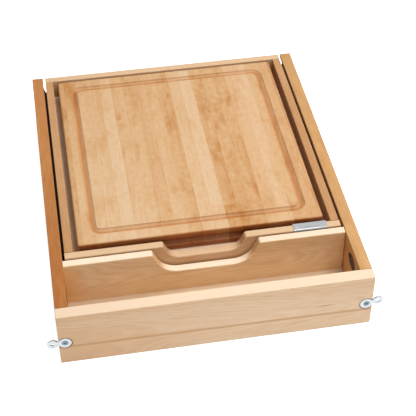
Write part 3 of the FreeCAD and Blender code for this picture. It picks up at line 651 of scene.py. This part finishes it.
# %% [markdown]
# Zinc and steel
#
# Plated steel is a mirror with a slightly uneven plate. Its colour is the reflection's, and the
# unevenness is a noise that changes the roughness from spot to spot. Folded sheet shows the long
# marks of its rolling. They could be scratches drawn one by one, but the same noise stretched
# along the sheet gives them all at once.

# %% The metals
CLOUDS = (260, 260, 260)
DULLER = 0.86
PLATE_RELIEF, PLATE_HEIGHT = 0.08, 0.2 * MM


def plated(name, colour, roughness, marks=CLOUDS):
    """Plated steel: a mirror whose roughness varies by a noise of the given marks per metre."""
    material, tree, output = new_material(name)
    n = Nodes(tree)
    cloud = n.noise(n.object_place(), marks, 3.0)
    gloss = n.weigh(cloud, 0.3, 0.7, roughness - 0.06, roughness + 0.10)
    tint = n.blend(n.weigh(cloud, 0.3, 0.7), colour, (*(DULLER * c for c in colour[:3]), 1.0))
    bump = n.add("Bump", {}, {"Strength": PLATE_RELIEF, "Distance": PLATE_HEIGHT, "Height": cloud})
    surface = n.add("BsdfPrincipled", {}, {"Base Color": tint, "Metallic": 1.0, "Roughness": gloss,
                                           "Normal": bump.outputs[0]})
    tree.links.new(surface.outputs[0], output.inputs["Surface"])
    print(name, len(tree.nodes), "nodes")
    return material


bright_zinc = plated("bright_zinc", srgb(181, 189, 194), 0.24)
clip_steel = plated("clip_steel", srgb(166, 167, 168), 0.55, (60, 900, 900))
# Painted shade: the slides' zinc is coloured darker than the lugs' zinc, for the shade in the gaps
# where they run
slide_zinc = plated("slide_zinc", srgb(112, 114, 118), 0.40, (900, 60, 900))
lug_screw_steel = plated("lug_screw_steel", srgb(122, 138, 146), 0.34)
screw_steel = plated("screw_steel", srgb(160, 164, 168), 0.30)
cage_steel = plated("cage_steel", srgb(176, 172, 160), 0.30)

# %% [markdown]
# A finish for each solid
#
# Most solids keep their own shape and need only their finish. Each could be given one by hand,
# but a list of names shows at a glance what is made of what. Small parts come in families, such
# as dowels and screws, so a word of their name is enough to find their finish.

# %% Give each node its finish
FINISHES = {
    "drawer_front": front_wood, "trough_divider": divider_wood, "back_rail": divider_wood,
    "drawer_side_left": left_wood, "drawer_side_right": right_wood, "drawer_bottom": plywood,
    "knife_block_base": plywood, "knife_block_slats": block_wood, "tray_bottom": plywood_painted_lighter,
    "tray_front": tray_cross_wood, "tray_back": tray_cross_wood,
    "tray_side_left": tray_side_wood, "tray_side_right": tray_side_wood,
    "cutting_board": board_wood, "tray_edge_clip": clip_steel, "clip_pins": clip_steel,
    "lug_screws": lug_screw_steel,
}
FAMILIES = [("dowels", dowel_wood), ("screws", screw_steel), ("lug", bright_zinc),
            ("cage", cage_steel), ("slide", slide_zinc)]
for name, node in nodes.items():
    finish = FINISHES.get(name) or next(finish for word, finish in FAMILIES if word in name)
    node.data.materials.clear()
    node.data.materials.append(finish)
used = {node.data.materials[0].name for node in nodes.values()}
print(len(used), "finishes on", len(nodes), "nodes")

# %% [markdown]
# Surfaces from grids
#
# The next pieces are shaped again here, because their curves catch the light: a solid arrives as
# flat triangles, while a grid of points can be shaded smoothly. Each piece is a table of places:
# its rows are loops or sections, its columns run round them. Joining neighbours gives the faces,
# and faces that meet at a sharp angle keep a sharp edge.

# %% Helpers for grids
SHARP = math.radians(32.0)
# Points closer together than this are one point
MERGE = 0.002 * MM


def grid_faces(places):
    """Quads between neighbouring rows; columns close on themselves, and rows where they meet."""
    rows, columns = places.shape
    row, column = np.meshgrid(np.arange(rows - 1), np.arange(columns), indexing="ij")
    after = (column + 1) % columns
    quads = np.stack([places[row, column], places[row, after], places[row + 1, after],
                      places[row + 1, column]], axis=-1)
    return quads.reshape(-1, 4).tolist()


def grid_mesh(name, grids):
    """One mesh from grids. A grid whose first and last row differ is capped by them."""
    points, faces = [], []
    for grid in grids:
        rows, columns = grid.shape[:2]
        places = np.arange(rows * columns).reshape(rows, columns) + sum(len(p) for p in points)
        if np.allclose(grid[0], grid[-1]):
            places[-1] = places[0]
        else:
            faces += [places[0][::-1].tolist(), places[-1].tolist()]
        faces += grid_faces(places)
        points.append(grid.reshape(-1, 3))
    mesh = bpy.data.meshes.new(name)
    mesh.from_pydata(np.concatenate(points).tolist(), [], faces)
    return mesh


def make_piece(name, grids, body, finish, replaced):
    """One object from grids, with its doubles merged and its faces turned outwards."""
    mesh = grid_mesh(name, grids)
    shape = bmesh.new()
    shape.from_mesh(mesh)
    bmesh.ops.remove_doubles(shape, verts=shape.verts, dist=MERGE)
    bmesh.ops.recalc_face_normals(shape, faces=shape.faces)
    volume = shape.calc_volume(signed=True)
    shape.to_mesh(mesh)
    shape.free()
    mesh.shade_smooth()
    mesh.set_sharp_from_angle(angle=SHARP)
    mesh.materials.append(finish)
    piece = add_object(name, mesh)
    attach(piece, body)
    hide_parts(replaced)
    print(name, len(mesh.polygons), "faces,", round(volume * 1e6, 1), "cm3")


# %% [markdown]
# The board's profile
#
# A router cuts the juice groove with a round bit, and the edges are eased with a plane. In a
# modelling program both would be a cut and a bevel. Here the board is one profile carried round a
# rounded rectangle: flat top, the round groove, the margin, the eased edge, the side and the
# underside. Its surface has two parameters: the place round the rectangle, and the place along
# the profile, which is an inset from the board's edge and a depth.

# %% Rectangle and profile
BOARD_CORNER, BOARD_EDGE = 5.0 * MM, 3.0 * MM
GROOVE_INSET, GROOVE_CORNER = 25.4 * MM, 12.7 * MM
GROOVE_BIT, GROOVE_DEPTH = 6.35 * MM, 4.0 * MM
# A row this far beside the groove, and one this far inside the eased edge, keep the top flat
BESIDE_GROOVE, BESIDE_EDGE = 2.0 * MM, 1.0 * MM
COVE_RADIUS, COVE_STRAIGHT = 7.0 * MM, 93.0 * MM
CORNER_STEPS, GROOVE_STEPS, EASE_STEPS, COVE_STEPS = 10, 15, 6, 15


def rounded_rectangle(low, high, inset, radius, along):
    """Points round a rectangle, anticlockwise: four quarter circles joined by straight sides."""
    turn = np.linspace(0.0, np.pi / 2, CORNER_STEPS)
    corners = [(high[0], low[1], -0.5), (high[0], high[1], 0.0), (low[0], high[1], 0.5),
               (low[0], low[1], 1.0)]
    runs = []
    for x, y, quarter in corners:
        inward = np.sign([-x, (low[1] + high[1]) / 2 - y])
        centre = np.array([x, y]) + inward * (inset + radius)
        angle = turn + quarter * np.pi
        runs.append(centre + radius * np.stack([np.cos(angle), np.sin(angle)], axis=1))
    joined = []
    for run, following in zip(runs, runs[1:] + runs[:1]):
        straight = run[-1] + along[1:-1, None] * (following[0] - run[-1])
        joined += [run, straight]
    return np.concatenate(joined)


def board_profile(thick):
    """Rows of inset, depth below the top, and corner radius, from the middle to the underside.

    The groove is the part of the bit's circle below the top, and the eased edge a quarter of a
    circle. The side's rows lie where equal turns of the hollow's circle put them.
    """
    reach = math.acos((GROOVE_BIT - GROOVE_DEPTH) / GROOVE_BIT)
    bit = np.linspace(reach, -reach, GROOVE_STEPS)
    groove = [(GROOVE_INSET + GROOVE_BIT * s, GROOVE_DEPTH - GROOVE_BIT * (1 - c),
               GROOVE_CORNER - GROOVE_BIT * s) for s, c in zip(np.sin(bit), np.cos(bit))]
    ease = np.linspace(0.0, np.pi / 2, EASE_STEPS)
    edge = [(BOARD_EDGE * (1 - s), BOARD_EDGE * (1 - c), BOARD_CORNER - BOARD_EDGE * (1 - s))
            for s, c in zip(np.sin(ease), np.cos(ease))]
    hollow = thick / 2 - COVE_RADIUS * np.cos(np.linspace(0.0, np.pi, COVE_STEPS))
    side = [(0.0, depth, BOARD_CORNER) for depth in hollow]
    under = [(inset, thick - depth, radius) for inset, depth, radius in edge[::-1]]
    inner, outer = groove[0], groove[-1]
    return ([(inner[0] + BESIDE_GROOVE, 0.0, inner[2] - BESIDE_GROOVE)] + groove
            + [(outer[0] - BESIDE_GROOVE, 0.0, outer[2])]
            + [(BOARD_EDGE + BESIDE_EDGE, 0.0, BOARD_CORNER)] + edge + side + under)


print(len(board_profile(BOARD_HIGH[2] - BOARD_LOW[2])), "rows in the board's profile")

# %% [markdown]
# The cutting board
#
# Fingers lift the board by a long hollow in its front edge. It could be cut out as a rod with
# rounded ends, but a cut leaves ragged faces. Here the rows of the front edge are pushed in by
# what such a rod would take away, so the surface stays one clean grid. The rod's ends need close
# columns, and the straight sides need only a few.

# %% Shape the cutting board
SIDE_STEPS, COVE_END_STEPS = 31, 10


def board_grid():
    """The profile's rows carried round the rectangle, with the cove pushed into the front.

    The cove's depth is the root of its radius squared less the squares of the height off its
    middle and of the way past its straight part.
    """
    low, high = (np.array(corner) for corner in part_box("cutting_board"))
    half = high[0] - BOARD_CORNER
    # Close columns from a millimetre before the cove's rounded end to a millimetre past it
    near_ends = np.linspace(COVE_STRAIGHT - 1 * MM, COVE_STRAIGHT + COVE_RADIUS + 1 * MM,
                            COVE_END_STEPS) / (2 * half)
    along = np.concatenate([np.linspace(0, 1, SIDE_STEPS), 0.5 - near_ends, 0.5 + near_ends])
    along = np.unique(np.round(along, 5))
    rows = []
    for inset, depth, radius in board_profile(high[2] - low[2]):
        flat = rounded_rectangle(low, high, inset, radius, along)
        rows.append(np.column_stack([flat, np.full(len(flat), high[2] - depth)]))
    grid = np.array(rows)
    past = np.maximum(np.abs(grid[..., 0]) - COVE_STRAIGHT, 0.0)
    rise = grid[..., 2] - (low[2] + high[2]) / 2
    hollow = np.sqrt(np.maximum(COVE_RADIUS**2 - rise**2 - past**2, 0.0))
    in_front = np.abs(grid[..., 1] - low[1]) < 0.001 * MM
    grid[..., 1] += np.where(in_front, hollow, 0.0)
    return grid[::-1]


make_piece("butcher_block", [board_grid()], "board", board_wood, "cutting_board")

# %% [markdown]
# The line of a hand scoop
#
# The divider and the tray front have a scoop in the top edge, for a hand to reach in. Seen from
# the front, the top edge is a line: level, a shoulder, a leaning straight, a wide arc, level, and
# back up. It could be a curve drawn by eye, but a maker sets such a line out with rule and
# compass. So it starts as a few corners, and an arc of the right radius rounds each.

# %% Set out the scoop
SCOOP_LEAN = math.radians(25.0)
ARC_STEPS = 14


def bent_line(corners, radii):
    """A line through corners, each rounded by an arc that touches both of its straights.

    The arc starts before its corner by its radius times the tangent of half the turn.
    """
    corners = np.array(corners, dtype=float)
    runs = [corners[:1]]
    for before, corner, after, radius in zip(corners, corners[1:], corners[2:], radii):
        into = (corner - before) / np.linalg.norm(corner - before)
        out = (after - corner) / np.linalg.norm(after - corner)
        turn = math.atan2(into[0] * out[1] - into[1] * out[0], into @ out)
        side = np.array([-into[1], into[0]]) * math.copysign(1.0, turn)
        start = corner - into * radius * math.tan(abs(turn) / 2)
        angle = np.linspace(0.0, abs(turn), ARC_STEPS)[:, None]
        runs.append(start + radius * (np.sin(angle) * into + (1 - np.cos(angle)) * side))
    return np.concatenate(runs + [corners[-1:]])


def scoop_line(x0, x1, top, depth, floor_length, floor_radius, shoulder_radius):
    """The wall's top edge from left to right, as places across and up.

    The leaning straight moves out by the depth times the tangent of its lean.
    """
    foot = floor_length / 2 + floor_radius * math.tan((math.pi / 2 - SCOOP_LEAN) / 2)
    head = foot + depth * math.tan(SCOOP_LEAN)
    print("scoop", round(2 * head / MM, 1), "mm wide at its top")
    corners = [(x0, top), (-head, top), (-foot, top - depth), (foot, top - depth), (head, top),
               (x1, top)]
    return bent_line(corners, [shoulder_radius, floor_radius, floor_radius, shoulder_radius])


# %% [markdown]
# Walls with a hand scoop
#
# The walls are boards whose rim is eased, so that it is kind to fingers. A bevel on a solid could
# do it, but its corners get untidy where the line bends. The section across the line is the same
# everywhere: front face, eased edge, rim, eased edge, back face. Carrying the section along the
# line gives the wall, as a moulding plane would. The divider stops a little before its right end,
# and the gap shows as a dark joint.

# %% Shape the scooped walls
WALL_TOP = 96.0 * MM
RIM_EASE = 1.8 * MM
DIVIDER_SHORT = 0.9 * MM
# A row this far from a rounded edge holds the flat beside it flat when it is shaded smoothly
HOLD = 0.1 * MM
# Depth, length of the floor, and radii at the floor and at the shoulder
DIVIDER_SCOOP = (38.1 * MM, 82.0 * MM, 33.0 * MM, 5.0 * MM)
TRAY_SCOOP = (25.0 * MM, 72.0 * MM, 22.0 * MM, 5.0 * MM)


def wall_grid(node, scoop, short=0.0):
    """Sections across the wall at each place of its top edge, lower edge included.

    The rim's edges are quarter circles: they sink by the ease times one less the sine, and move
    in by the ease times one less the cosine. Short is how far the wall stops before its right end.
    """
    low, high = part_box(node)
    front, back = low[1], high[1]
    line = scoop_line(low[0], high[0] - short, WALL_TOP, *scoop)
    way = np.gradient(line, axis=0)
    up = np.column_stack([-way[:, 1], way[:, 0]]) / np.linalg.norm(way, axis=1)[:, None]
    up[[0, -1]] = (0.0, 1.0)
    turn = np.linspace(0.0, np.pi / 2, EASE_STEPS)
    sink = RIM_EASE * (1 - np.sin(turn))
    move = RIM_EASE * (1 - np.cos(turn))
    flat = RIM_EASE + HOLD
    drop = np.concatenate([[flat], sink, [0.0, 0.0], sink[::-1], [flat]])
    across = np.concatenate([[front], front + move, [front + flat, back - flat],
                             back - move[::-1], [back]])
    rim = line[:, None, :] - up[:, None, :] * drop[None, :, None]
    section = np.empty((len(line), len(drop) + 2, 3))
    section[:, 1:-1, 0] = rim[..., 0]
    section[:, 1:-1, 2] = rim[..., 1]
    section[:, 1:-1, 1] = across
    section[:, [0, -1], 0] = line[:, :1]
    section[:, 0, 1], section[:, -1, 1] = front, back
    section[:, [0, -1], 2] = low[2]
    return section[:, ::-1]


make_piece("scooped_divider", [wall_grid("trough_divider", DIVIDER_SCOOP, DIVIDER_SHORT)],
           "drawer", divider_wood, "trough_divider")
make_piece("scooped_tray_front", [wall_grid("tray_front", TRAY_SCOOP)],
           "tray", tray_cross_wood, "tray_front")

# %% [markdown]
# Sections for pressed plate
#
# Each lug is a pressed plate: a disc under the screw, a short neck and a ring that sticks out
# past the panel's end. It could be cut out of a flat sheet, but pressing rounds a plate's edges,
# and on so small a piece they are most of what shines. So everything starts from the section of a
# plate's end with soft corners. The disc and the ring are such a section spun round an axis.

# %% Soft ends and turned shapes
SOFT_STEPS, SPIN_STEPS = 5, 56


def soft_end(reach, thick, soft):
    """Places down the right end of a plate, which reaches that far, as across and depth pairs."""
    turn = np.linspace(0.0, np.pi / 2, SOFT_STEPS)
    quarter = np.column_stack([np.sin(turn), 1 - np.cos(turn)]) * soft
    edge = np.column_stack([reach - soft + quarter[:, 0], quarter[:, 1]])
    edge = np.concatenate([edge[:1] - (HOLD, 0), edge, edge[-1:] + (0, HOLD)])
    return np.concatenate([edge, np.column_stack([edge[::-1, 0], thick - edge[::-1, 1]])])


def soft_bar(width, thick, soft):
    """Places round a bar's section: its right end, and the same end turned over as its left."""
    right = soft_end(width / 2, thick, soft)
    return np.concatenate([right, right[::-1] * (-1, 1)])


def soft_ring(hole, outer, thick, soft):
    """The section of a ring from its hole to its outside, closed: two ends back to back."""
    outside = soft_end(outer, thick, soft)
    inside = outside[::-1] * (-1, 1) + (hole + outer, 0)
    return np.concatenate([outside, inside, outside[:1]])


def spun(section, centre):
    """A section of radius and depth pairs, spun round an axis that runs from front to back."""
    angle = np.linspace(0.0, 2 * np.pi, SPIN_STEPS, endpoint=False)
    radius, depth = section[:, :1], section[:, 1:]
    return np.stack([centre[0] + radius * np.cos(angle), centre[1] + depth + 0 * angle,
                     centre[2] + radius * np.sin(angle)], axis=-1)


# %% [markdown]
# The fixing lugs
#
# The neck is a waisted bar that sinks into the disc and the ring. Cutting the three to one solid
# would be cleaner on paper, but it leaves slivers in the shading. Instead the neck's faces lie a
# hair below the others, so that no two share a plane. Each lug hangs at its own angle. It is
# worked out level and then turned round its screw, which keeps every sum simple.

# %% Shape the lugs
LUG_PIVOT_X, LUG_PIVOT_Z = 219.6 * MM, 42.2 * MM
LUG_FRONT, LUG_THICK, LUG_SOFT = -279.65 * MM, 2.4 * MM, 0.45 * MM
# Radius of the hole, radius of the outside, and distance from the screw
LUG_DISC = (4.5 * MM, 9.5 * MM, 0.0)
LUG_RING = (2.8 * MM, 8.0 * MM, 17.5 * MM)
# The neck is narrowest at its middle and flares by the square of the way from there
NECK_START, NECK_MIDDLE, NECK_END, NECK_STEPS = 5.0 * MM, 9.7 * MM, 13.5 * MM, 11
NECK_WIDTH, NECK_FLARE, NECK_SINK = 7.6 * MM, 0.2 / MM, 0.04 * MM
# Side, name and lift in degrees: the left one is just below level, the right one above it
LUGS = [(-1, "left", -1.6), (1, "right", 11.4)]


def neck_grid(pivot, side):
    """Sections of the neck at even steps, each as wide as its place along the neck asks for."""
    places = np.linspace(NECK_START, NECK_END, NECK_STEPS)
    waist = NECK_WIDTH + NECK_FLARE * (places - NECK_MIDDLE) ** 2
    bars = np.array([soft_bar(width, LUG_THICK - 2 * NECK_SINK, LUG_SOFT) for width in waist])
    neck = np.empty((*bars.shape[:2], 3))
    neck[..., 0] = pivot[0] + side * places[:, None]
    neck[..., 1] = pivot[1] + NECK_SINK + bars[..., 1]
    neck[..., 2] = pivot[2] + bars[..., 0]
    return neck


def turned(grid, pivot, angle):
    """A grid turned round the pivot's axis, from front to back, by the usual sine and cosine."""
    cos, sin = math.cos(angle), math.sin(angle)
    x, z = grid[..., 0] - pivot[0], grid[..., 2] - pivot[2]
    return np.stack([pivot[0] + x * cos - z * sin, grid[..., 1],
                     pivot[2] + x * sin + z * cos], axis=-1)


def lug_grids(side, lift):
    """Disc, ring and neck; then all of it turned round the screw by the lift."""
    pivot = np.array([side * LUG_PIVOT_X, LUG_FRONT, LUG_PIVOT_Z])
    grids = []
    for hole, outer, away in (LUG_DISC, LUG_RING):
        section = soft_ring(hole, outer, LUG_THICK, LUG_SOFT)
        grids.append(spun(section, pivot + (side * away, 0, 0)))
    grids.append(neck_grid(pivot, side))
    return [turned(grid, pivot, side * lift) for grid in grids]


for side, word, lift in LUGS:
    make_piece("pressed_lug_" + word, lug_grids(side, math.radians(lift)), "lug_" + word,
               bright_zinc, "front_lug_" + word)
